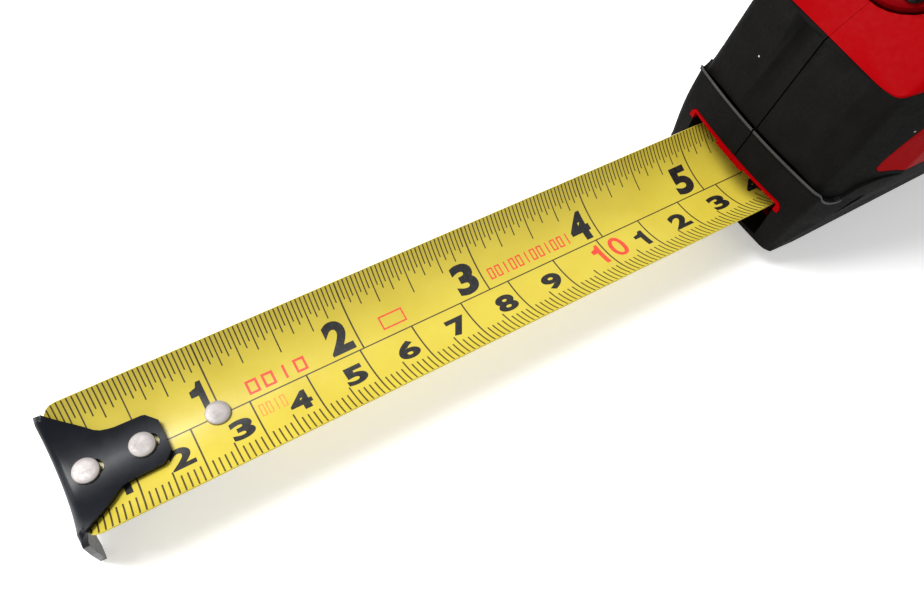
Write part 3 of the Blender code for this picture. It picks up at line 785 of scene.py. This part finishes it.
def rimmed_block(distance):
    """Side view of the case, carried forward past the front, with rounded rims."""
    corners = CASE_CORNERS[:5] + [(-44.0, 34.75, 1.5), (-44.0, 7.82, 1.5)]
    half = []
    count = len(RIM_PROFILE)
    for i, (y, deep) in enumerate(RIM_PROFILE):
        ahead = RIM_PROFILE[min(i + 1, count - 1)]
        behind = RIM_PROFILE[max(i - 1, 0)]
        run, rise = ahead[0] - behind[0], ahead[1] - behind[1]
        length = math.hypot(run, rise)
        half.append((y - distance * rise / length, deep + distance * run / length))
    rings = []
    for y, deep in [(y, deep) for y, deep in half[::-1]] + [(-y, deep) for y, deep in half]:
        outline = rounded(inset([(x, z) for x, z, _ in corners], deep),
                          [max(r - deep, 0.3) for _, _, r in corners], 8)
        rings.append([(x, SEAM_Y + y, z) for x, z in outline])
    points, faces = stack(rings)
    return mesh_object("block", points, faces)


def leaning_block(distance):
    high = (30.0 - BASE_HALF) / math.tan(LEAN)
    low = BASE_HALF - 5.0 * math.tan(LEAN)
    section = [(-low, -5.0), (low, -5.0), (30.0, high), (30.0, 90.0), (-30.0, 90.0),
               (-30.0, high)]
    section = [(SEAM_Y + y, z) for y, z in inset(section, distance)]
    return prism(section, -70.0, 70.0, along_x)


def plan_ring(x, half, z, spread, distance):
    """Plan outline: crowned front, rounded front edges, walls opening backwards."""
    x += distance
    half -= distance * (1 - math.sin(spread)) / math.cos(spread)
    soft = 1.5
    side = [(x - CROWN * (1 - (k / 10 * (half - soft) / half) ** 2), k / 10 * (half - soft))
            for k in range(11)]
    start, bend = Vector(side[-1]), Vector((x, half))
    end = Vector((x + soft * math.cos(spread), half + soft * math.sin(spread)))
    for k in range(1, 7):
        t = k / 6
        side.append(tuple(start.lerp(bend, t).lerp(bend.lerp(end, t), t)))
    side.append((x + (30.0 - half) / math.tan(spread), 30.0))
    side.append((70.0, 30.0))
    ring = [(a, -b) for a, b in side[:0:-1]] + side
    return [(a, SEAM_Y + b, z) for a, b in ring]


def front_x(z):
    """Front face at its side edges, with a soft knee."""
    above = max(0.0, z - KNEE_Z)
    if abs(z - KNEE_Z) < 3.0:
        above = (z - KNEE_Z + 3.0) ** 2 / 12.0
    return FRONT_X + above * FRONT_RAKE


def plan_stack(name, levels, back, spread, distance):
    rings = [plan_ring(front_x(z) + back, half, z, spread, distance) for z, half in levels]
    points, faces = stack(rings)
    return mesh_object(name, points, faces)


KNEE_LEVELS = [KNEE_Z + k for k in (-3.0, -2.0, -1.0, 0.0, 1.0, 2.0, 3.0)]


def upper_block(distance):
    levels = [(z, FRONT_HALF) for z in [-6.0] + KNEE_LEVELS + [90.0]]
    return plan_stack("upper", levels, UPPER_BACK, SPREAD, distance)


def collar_half(z):
    for (low, a), (high, b) in zip(COLLAR_WIDTHS, COLLAR_WIDTHS[1:]):
        if low <= z <= high:
            return a + (b - a) * (z - low) / (high - low)
    return COLLAR_WIDTHS[-1][1]


def soft_top(points):
    """Rounds the notch in the collar's upper edge."""
    inner = [points[0]] * 2 + points[1:] + [points[-1]]
    out = [points[0]]
    for a, b, c, d in zip(inner, inner[1:], inner[2:], inner[3:]):
        a, b, c, d = (Vector(p) for p in (a, b, c, d))
        if b == c:
            continue
        reach = (c - b).length
        m0, m1 = (c - a).normalized() * reach * 0.7, (d - b).normalized() * reach * 0.7
        if reach > 15.0:
            m0, m1 = Vector((0, 0)), Vector((0, 0))
        for k in range(1, 5):
            t = k / 4
            h = (2 * t ** 3 - 3 * t ** 2 + 1, t ** 3 - 2 * t ** 2 + t, -2 * t ** 3 + 3 * t ** 2,
                 t ** 3 - t ** 2)
            out.append(tuple(b * h[0] + m0 * h[1] + c * h[2] + m1 * h[3]))
    return out


def collar_block(distance):
    levels = [(z, collar_half(z)) for z in [-5.0, 5.0, 9.0, 12.0] + KNEE_LEVELS
              + [23.0, 26.0, 40.0]]
    collar = plan_stack("collar", levels, 0.0, COLLAR_SPREAD, distance)
    under = soft_top(COLLAR_TOP) + [(0.0, 26.0), (0.0, -20.0), (-60.0, -20.0)]
    return common(collar, prism(under, -40.0, 40.0, along_y))


def bead_block(out, high):
    """Thin raised line that follows the collar's edge round both corners."""
    upper = [p for p in soft_top(COLLAR_TOP) if p[0] < -31.9]
    band = upper + [(x, z - high) for x, z in upper[::-1]]
    levels = [(z, collar_half(z)) for z in (19.0, 21.0, 23.0, 26.0, 30.0)]
    line = plan_stack("bead", levels, 0.0, COLLAR_SPREAD, -out)
    return common(line, prism(band, -40.0, 40.0, along_y))


def case_core(distance):
    core = common(rimmed_block(distance), leaning_block(distance))
    return common(core, upper_block(distance))


def case_body():
    front = join(upper_block(0.0), collar_block(0.0))
    join(front, bead_block(BEAD_OUT, BEAD))
    return common(common(rimmed_block(0.0), leaning_block(0.0)), front)


def rim_band(gap, out):
    half = MOUTH_HALF + RIM + gap
    levels = [RIM_Z[0] - gap, 16.0, 16.6, 17.2, RIM_Z[1] + gap]
    rim = plan_stack("rim", [(z, FRONT_HALF) for z in levels], 0.0, SPREAD, -out)
    near, far, low, top = SEAM_Y - half, SEAM_Y + half, RIM_Z[0] - gap, RIM_Z[1] + gap
    face = rounded([(near, low), (far, low), (far, top), (near, top)], [0.2, 0.2, 1.3, 1.3], 5)
    return common(rim, prism(face, -60.0, -33.0, along_x))


def spine_window(gap):
    far = SPINE_HALF - gap
    side = [(x, z + gap) for x, z in SPINE_EDGE]
    side += [(SPINE_BACK_X - gap, 60.0 + gap), (SPINE_BACK_X - gap, 95.0), (-60.0, 95.0)]
    return prism(side, SEAM_Y - far, SEAM_Y + far, along_y)


def panel_window(gap, side):
    low, high = sorted((side * 16.0, side * 30.0))
    return prism(smooth_closed(inset(PANEL, gap)), low, high, along_y)


def mouth_hole(gap):
    half = MOUTH_HALF + gap
    return box(-60, -30, SEAM_Y - half, SEAM_Y + half, MOUTH_Z[0] - gap, MOUTH_Z[1] + gap)


def throat_block(gap):
    half = MOUTH_HALF + THROAT + gap
    front = -60.0 if gap else -38.4
    return box(front, THROAT_X + gap, SEAM_Y - half, SEAM_Y + half,
               MOUTH_Z[0] - THROAT - gap, RIM_Z[0] + 0.6)


def cavity():
    hollow = prism(case_outline(SKIN + GAP + 2.0), -17.0, 17.0, along_y)
    common(hollow, leaning_block(SKIN + GAP + 0.9))
    return common(hollow, upper_block(SKIN + GAP + 0.9))


def half_space(side, gap):
    edge = SEAM_Y + side * gap / 2
    low, high = sorted((edge, side * FAR))
    return box(-FAR, FAR, low, high, -FAR, FAR)


def halves(whole, gap):
    """Parts a piece along the seam; the near half comes first."""
    right = common(duplicate(whole, "right"), half_space(-1, gap))
    left = common(whole, half_space(1, gap))
    return right, left


def stadium(start, length, half, steps=16):
    outline = []
    for centre, turn in ((start + length - half, -0.5), (start + half, 0.5)):
        for k in range(steps + 1):
            angle = math.pi * (turn + k / steps)
            outline.append((centre + half * math.cos(angle), half * math.sin(angle)))
    return outline


def make_shells():
    outer = case_body()
    shell = case_core(SKIN + 0.1)
    join(shell, common(spine_window(0.1), outer, keep=True))
    for side in (-1, 1):
        join(shell, common(panel_window(0.1, side), outer, keep=True))
    discard(outer)
    cut(shell, throat_block(GAP))
    join(shell, rim_band(0.0, RIM_OUT))
    cut(shell, cavity())
    for x, z, end in SCREWS.values():
        boss = rod_y(x, z, 2.4, -end - 1.0, 15.0, 20)
        join(shell, join(boss, rod_y(x, z, 3.7, 14.2, end, 28)))
    lip = box(-70, -36.0, LIP[0], LIP[1], LIP[2], 30)
    cut(shell, cut(mouth_hole(0.0), lip))
    cut(shell, prism(stadium(0, 25.4, 10.0), -1.6, 12, across_slope))
    cut(shell, prism([(1.7, -5.3), (11.0, -5.3), (11.0, 5.3), (1.7, 5.3)], -8, 0, across_slope))
    cut(shell, prism([(12.2, -2.8), (22.0, -2.8), (22.0, 2.8), (12.2, 2.8)], -3, 0,
                     across_slope))
    right, left = halves(shell, 0.05)
    for x, z, _ in SCREWS.values():
        cut(right, rod_y(x, z, 1.5, -11, 2, 16))
        cut(left, rod_y(x, z, 1.55, -2, 18, 16))
        cut(left, rod_y(x, z, 3.0, SCREW_HEAD_Y - 0.2, 30))
    cut(right, rod_y(*REEL, 3.7, -18.5, -16))
    cut(left, rod_y(*REEL, 1.6, 16, 30))
    cut(left, rod_y(*REEL, 3.2, 18.8, 30))
    cut(left, rod_y(CLIP_X, CLIP_SCREW_Z, 1.5, 16, 30))
    finish(right, "right_shell_body", "red_plastic", "case", ["right_shell"], 0.15)
    finish(left, "left_shell_body", "red_plastic", "case", ["left_shell"], 0.15)


def make_bead():
    """The raised line is smoother and shinier than the rubber around it; its lighter grey colour
    is a painted highlight.
    """
    line = bead_block(BEAD_OUT + 0.06, BEAD * 0.62)
    cut(line, case_core(0.4))
    right, left = halves(line, 0.4)
    finish(right, "right_line", "line_rubber_painted_highlight", "case", bevel=0.12)
    finish(left, "left_line", "line_rubber_painted_highlight", "case", bevel=0.12)


def make_skins():
    skin = case_body()
    cut(skin, case_core(SKIN))
    join(skin, throat_block(0.0))
    cut(skin, spine_window(0.0))
    for side in (-1, 1):
        cut(skin, panel_window(0.0, side))
    cut(skin, rim_band(0.1, 5.0))
    cut(skin, mouth_hole(0.0))
    for side in (-1, 1):
        slit = [(-30.6, 16.5), (-28.9, 18.2), (-27.5, 22.4), (-29.2, 20.6)]
        low, high = sorted((SEAM_Y + side * 18.0, side * 30.0))
        cut(skin, prism(smooth_closed(slit, 6), low, high, along_y))
    right, left = halves(skin, 0.28)
    for x, z, _ in SCREWS.values():
        cut(left, rod_y(x, z, 3.2, 14, 30))
    finish(right, "right_skin", "black_rubber", "case", ["right_overmould"], 0.2, 3)
    finish(left, "left_skin", "black_rubber", "case", ["left_overmould"], 0.2, 3)


# ---- hook and rivets
HOOK_OUTLINE = [(1.4, 10.0), (2.4, 9.2), (4.0, 8.0), (5.2, 7.1), (6.2, 6.3), (7.2, 5.4),
                (8.0, 4.95), (9.0, 4.7), (10.0, 4.55), (12.0, 4.5), (14.3, 4.45), (14.8, 4.3),
                (15.6, 3.5), (16.3, 2.75)]
FLANGE_FOOT = [(0.0, 1.8), (0.66, 1.8), (0.75, 0.5), (0.955, 0.5), (1.0, 6.5)]


def curve_z(lift, y):
    radius = BEND - lift
    return BLADE_Z + BEND - math.sqrt(radius * radius - y * y)


def between(table, at):
    for (a, p), (b, q) in zip(table, table[1:]):
        if a <= at <= b:
            return p + (q - p) * (at - a) / (b - a)
    return table[-1][1]


def hook_columns():
    marks = [0.0, 0.12, 0.24, 0.36, 0.48, 0.58, 0.66, 0.70, 0.75, 0.80, 0.85, 0.90, 0.955,
             0.98, 1.0]
    return [-m for m in marks[:0:-1]] + marks


def hook_top(y):
    """Height of the hook's upper edge; it drops towards the flange corners."""
    drop = 0.35 * max(0.0, abs(y) - 9.4)
    return curve_z(1.25, min(abs(y), 9.4)) - drop


def hook_faces():
    """Outer and inner grids of the bent sheet, from the flange's foot to the plate's end."""
    bend, thick = 1.5, 1.0
    outer, inner = [], []
    columns = hook_columns()
    for k in range(9):
        rise = k / 8
        rows = ([], [])
        for s in columns:
            y = s * HOOK_HALF
            foot = between(FLANGE_FOOT, abs(s))
            z = foot + (hook_top(y) - bend - foot) * rise
            rows[0].append((ZERO_X, y, z))
            rows[1].append((ZERO_X + thick, y, z))
        outer.append(rows[0])
        inner.append(rows[1])
    for k in range(1, 8):
        angle = math.pi / 2 * k / 8
        wide = HOOK_HALF + (10.0 - HOOK_HALF) * k / 8
        rows = ([], [])
        for s in columns:
            y = s * wide
            for row, reach in ((rows[0], bend), (rows[1], bend - thick)):
                row.append((ZERO_X + bend - reach * math.cos(angle), y,
                            hook_top(y) - bend + reach * math.sin(angle)))
        outer.append(rows[0])
        inner.append(rows[1])
    for x, half in [(bend, 9.95)] + HOOK_OUTLINE[1:]:
        outer.append([(ZERO_X + x, s * half, curve_z(1.25, s * half)) for s in columns])
        inner.append([(ZERO_X + x, s * half, curve_z(0.25, s * half)) for s in columns])
    return outer, inner


def sheet_mesh(name, outer, inner):
    """Closed solid between two grids of equal size."""
    rows, count = len(outer), len(outer[0])
    points = [p for row in outer for p in row] + [p for row in inner for p in row]
    base = rows * count
    faces = []
    for r in range(rows - 1):
        for c in range(count - 1):
            a = r * count + c
            faces.append((a, a + 1, a + count + 1, a + count))
            faces.append((base + a, base + a + count, base + a + count + 1, base + a + 1))
    for r in range(rows - 1):
        for a, flip in ((r * count, False), (r * count + count - 1, True)):
            quad = (a, a + count, base + a + count, base + a)
            faces.append(quad[::-1] if flip else quad)
    for c in range(count - 1):
        for a, flip in ((c, True), ((rows - 1) * count + c, False)):
            quad = (a, a + 1, base + a + 1, base + a)
            faces.append(quad[::-1] if flip else quad)
    return face_outwards(mesh_object(name, points, faces))


def make_hook():
    hook = sheet_mesh("hook", *hook_faces())
    for name in ("rivet_front", "rivet_middle"):
        start = ZERO_X + RIVETS[name] - 1.4
        cut(hook, prism(stadium(start, 4.0, 1.4, 10), 0.0, 20.0, along_z))
    finish(hook, "end_hook", "black_steel", "hook", ["hook"], 0.14, 3)


def turned(axis, a, b, profile, steps=64):
    """Solid turned about an upright axis ("z") or one across the case ("y")."""
    count = len(profile)
    points, faces = [], []
    for i in range(steps):
        angle = 2 * math.pi * i / steps
        for radius, h in profile:
            p, q = a + radius * math.cos(angle), b + radius * math.sin(angle)
            points.append((p, h, q) if axis == "y" else (p, q, h))
    closed = all(radius > 0.001 for radius, _ in profile)
    for i in range(steps):
        near, far = i * count, (i + 1) % steps * count
        for k in range(count if closed else count - 1):
            m = (k + 1) % count
            faces.append((near + k, near + m, far + m, far + k))
    return face_outwards(mesh_object("turned", points, faces), weld=True)


def make_rivets():
    for name, x in RIVETS.items():
        seat = 8.72 if name == "rivet_rear" else 9.85
        profile = [(0.0, 7.4), (1.3, 7.42), (1.7, 7.55), (1.8, 7.75), (1.8, 7.98), (1.25, 7.98),
                   (1.25, seat), (1.98, seat), (2.07, seat + 0.08), (2.07, seat + 0.3),
                   (2.0, seat + 0.45), (1.8, seat + 0.54), (1.3, seat + 0.6),
                   (0.6, seat + 0.63), (0.0, seat + 0.64)]
        rivet = turned("z", ZERO_X + x, 0.0, profile, 40)
        finish(rivet, name + "_head", "rivet_metal", "blade", [name])


def make_backing():
    start, end = ZERO_X + 2.4, ZERO_X + 29.5
    outer, inner = [], []
    for k in range(25):
        x = start + (end - start) * k / 24
        tuck = min(x - start, end - x)
        half = 6.0 - 1.5 + math.sqrt(max(0.0, 2.25 - max(0.0, 1.5 - tuck) ** 2))
        ys = [half * (c / 8 - 1) for c in range(17)]
        outer.append([(x, y, curve_z(-0.25, y)) for y in ys])
        inner.append([(x, y, curve_z(-0.45, y)) for y in ys])
    backing = sheet_mesh("backing", outer, inner)
    for x in RIVETS.values():
        cut(backing, prism(circle(ZERO_X + x, 0, 1.4, 24), 0, 20, along_z))
    finish(backing, "backing_strip", "spring_steel", "blade", ["blade_backing"])


# ---- works inside the case
def make_reel():
    layers, steps = [], 34
    for k in range(steps):
        low = COIL[0] + (COIL[1] - COIL[0]) * k / steps
        high = COIL[0] + (COIL[1] - COIL[0]) * (k + 0.8) / steps
        layers.append((low, high, BLADE_HALF - 0.25 * (k * 7 % 5) / 5))
    near = []
    for low, high, half in layers:
        near += [(low, -half + 0.3), (low, -half), (high, -half), (high, -half + 0.3)]
    far = []
    for low, high, half in layers[::-1]:
        far += [(high, half - 0.3), (high, half), (low, half), (low, half - 0.3)]
    coil = turned("y", *REEL, near + far, 120)
    finish(coil, "wound_blade", "coil_yellow", "reel", ["blade_coil"])
    profile = [(4.0, -16.4), (6.2, -16.4), (6.5, -16.1), (6.5, -14.3), (7.0, -13.9),
               (20.0, -13.9), (20.3, -13.7), (24.5, -13.7), (24.8, -13.9), (27.4, -13.9),
               (27.7, -13.7), (27.7, -13.3), (27.4, -13.1), (17.4, -13.1), (17.4, 12.6),
               (16.2, 12.6), (16.2, -12.6), (4.0, -12.6)]
    finish(turned("y", *REEL, profile, 120), "drum", "reel_plastic", "reel", ["reel_drum"])
    profile = [(4.0, 12.9), (27.4, 12.9), (27.7, 13.1), (27.7, 13.5), (27.4, 13.7),
               (24.8, 13.7), (24.5, 13.5), (20.3, 13.5), (20.0, 13.7), (7.0, 13.7),
               (6.5, 14.1), (6.5, 16.1), (6.2, 16.4), (4.0, 16.4)]
    finish(turned("y", *REEL, profile, 120), "cap", "reel_plastic", "reel", ["reel_cap"])


def make_power_spring():
    turns, inner, outer, band = 6, 4.6, 15.2, 0.45
    steps = turns * 48
    edge, back = [], []
    for i in range(steps + 1):
        angle = 2 * math.pi * turns * i / steps
        radius = inner + (outer - inner) * i / steps
        for side, reach in ((edge, radius), (back, radius + band)):
            side.append((REEL[0] + reach * math.cos(angle), REEL[1] + reach * math.sin(angle)))
    spring = prism(back + edge[::-1], -9.5, 9.5, along_y)
    finish(spring, "spiral_spring", "spring_steel", "reel", ["power_spring"])


def make_screw(name, x, z, head_y, tip_y, head_r):
    """Pan-head screw with a cross recess and turned thread rings."""
    shank_r = 1.35
    profile = [(0.0, tip_y), (shank_r * 0.7, tip_y + 0.1)]
    y = tip_y + 0.5
    while y < head_y - 1.2:
        profile += [(shank_r * 0.8, y), (shank_r, y + 0.3)]
        y += 0.6
    top = head_y + 1.6
    profile += [(shank_r, head_y), (head_r - 0.15, head_y), (head_r, head_y + 0.15),
                (head_r, head_y + 0.8), (head_r * 0.93, top - 0.35), (head_r * 0.75, top - 0.1),
                (head_r * 0.4, top), (0.0, top)]
    screw = turned("y", x, z, profile, 40)
    for long_x, long_z in ((1.45, 0.32), (0.32, 1.45)):
        cut(screw, box(x - long_x, x + long_x, top - 0.9, top + 2, z - long_z, z + long_z))
    finish(screw, name + "_part", "zinc_steel", "case", [name], 0.05, 1, 50)


def make_screws():
    for name, (x, z, _) in SCREWS.items():
        make_screw(name, x, z, SCREW_HEAD_Y, -9.0, 2.6)
    make_screw("arbor_screw", *REEL, 19.0, 8.5, 2.8)
    make_screw("clip_screw", CLIP_X, CLIP_SCREW_Z, 22.4, 17.6, 3.0)


# ---- lock and clip
def make_lock():
    rings = []
    for n, grow in ((-1.3, 0.0), (-1.2, 0.12), (0.9, 0.12), (1.25, 0.0), (1.45, -0.3),
                    (1.58, -0.9), (1.62, -1.8)):
        outline = stadium(0.7 - grow, 18.9 + 2 * grow, 9.3 + grow, 24)
        rings.append([across_slope(s, y, n) for s, y in outline])
    points, faces = stack(rings)
    cap = face_outwards(mesh_object("cap", points, faces))
    neck = [(2.0, -5.0), (5.6, -5.0), (5.6, 5.0), (2.0, 5.0)]
    join(cap, prism(neck, -4.6, -1.0, across_slope))
    plate_end = [on_slope(s, n, 0) for s, n in ((-1.0, -5.5), (5.6, -5.5), (5.6, -4.0),
                                                (-3.4, -4.0))]
    arm = [(-34.3, 15.6), (-25.1, 15.6), (-25.1, 17.8), (-32.1, 17.8), (-27.0, 43.4)]
    arm += [(p[0], p[2]) for p in plate_end]
    arm += [(-29.0, 43.4), (-34.3, 17.6)]
    join(cap, prism(arm, -5.0, 5.0, along_y))
    join(cap, box(-31.1, -25.1, -10.3, 10.3, 15.7, 17.7))
    finish(cap, "lock_button", "lock_plastic", "lock", ["lock_slider"], 0.15)


def make_grip():
    """Ribbed rubber pad with rounded corners."""
    corners = [(3.2, -6.8), (17.1, -6.8), (17.1, 6.8), (3.2, 6.8)]
    grip = prism(rounded(corners, [2.0] * 4, 8), 1.75, 2.4, across_slope)
    for k in range(6):
        s = 15.8 - 2.3 * k
        rib = [(s - 0.75, 2.2), (s + 0.75, 2.2)]
        rib += [(s + 0.75 * math.cos(math.pi * t / 10), 2.5 + 0.85 * math.sin(math.pi * t / 10))
                for t in range(11)]
        join(grip, prism(rib, -6.3, 6.3, on_slope))
    finish(grip, "lock_pad", "grip_rubber", "lock", ["lock_grip"], 0.12)


def make_clip():
    inner_y, outer_y, top_z = 21.8, 27.6, 58.0
    middle, reach = (inner_y + outer_y) / 2, (outer_y - inner_y) / 2
    path = [(inner_y, 42.0)]
    for k in range(25):
        angle = math.pi * (1 - k / 24)
        path.append((middle + reach * math.cos(angle), top_z + reach * math.sin(angle)))
    for t in range(1, 13):
        path.append((outer_y, top_z - t * 32.0 / 12))
    for t in range(1, 11):
        path.append((outer_y + 2.2 * (t / 10) ** 2, 26.0 - 10.5 * t / 10))
    rows = ([], [])
    for i, point in enumerate(path):
        here = Vector(point)
        ahead = Vector(path[min(i + 1, len(path) - 1)])
        behind = Vector(path[max(i - 1, 0)])
        way = (ahead - behind).normalized()
        side = Vector((-way.y, way.x)) * 0.5
        half = 9.0
        if point[1] < 20.0 and i > 20:
            half = 9.0 - 3.2 + math.sqrt(max(0.0, 3.2 ** 2 - (20.0 - point[1]) ** 2 / 2))
        for row, place in ((rows[0], here + side), (rows[1], here - side)):
            row.append([(CLIP_X + half * c / 6, place.x, place.y) for c in range(-6, 7)])
    clip = sheet_mesh("clip", *rows)
    cut(clip, rod_y(CLIP_X, CLIP_SCREW_Z, 1.7, 20.5, 24.5))
    cut(clip, rod_y(CLIP_X, CLIP_SCREW_Z, 4.2, 24.5, 32))
    finish(clip, "spring_clip", "clip_steel", "case", ["belt_clip"], 0.16, 3)


def dress_nodes():
    """CAD pieces that keep their shape get their finish and softened edges."""
    looks = {
        "spring_arbor": ("zinc_steel", 0.15), "brake_pad": ("grip_rubber", 0.2),
        "detent_spring": ("black_steel", 0.0),
    }
    for name, (material, bevel) in looks.items():
        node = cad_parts[name]
        for slot in node.material_slots:
            slot.link = "OBJECT"
            slot.material = MATERIALS[material]
        if bevel:
            step = node.modifiers.new("edges", "BEVEL")
            step.width = bevel * MM
            step.segments = 2
            step.limit_method = "ANGLE"
            step.angle_limit = math.radians(35)


make_camera()
make_materials()
make_studio()
make_blade()
make_ticks()
make_figures()
make_marks()
make_shells()
make_skins()
make_bead()
make_hook()
make_rivets()
make_backing()
make_reel()
make_power_spring()
make_screws()
make_lock()
make_grip()
make_clip()
dress_nodes()
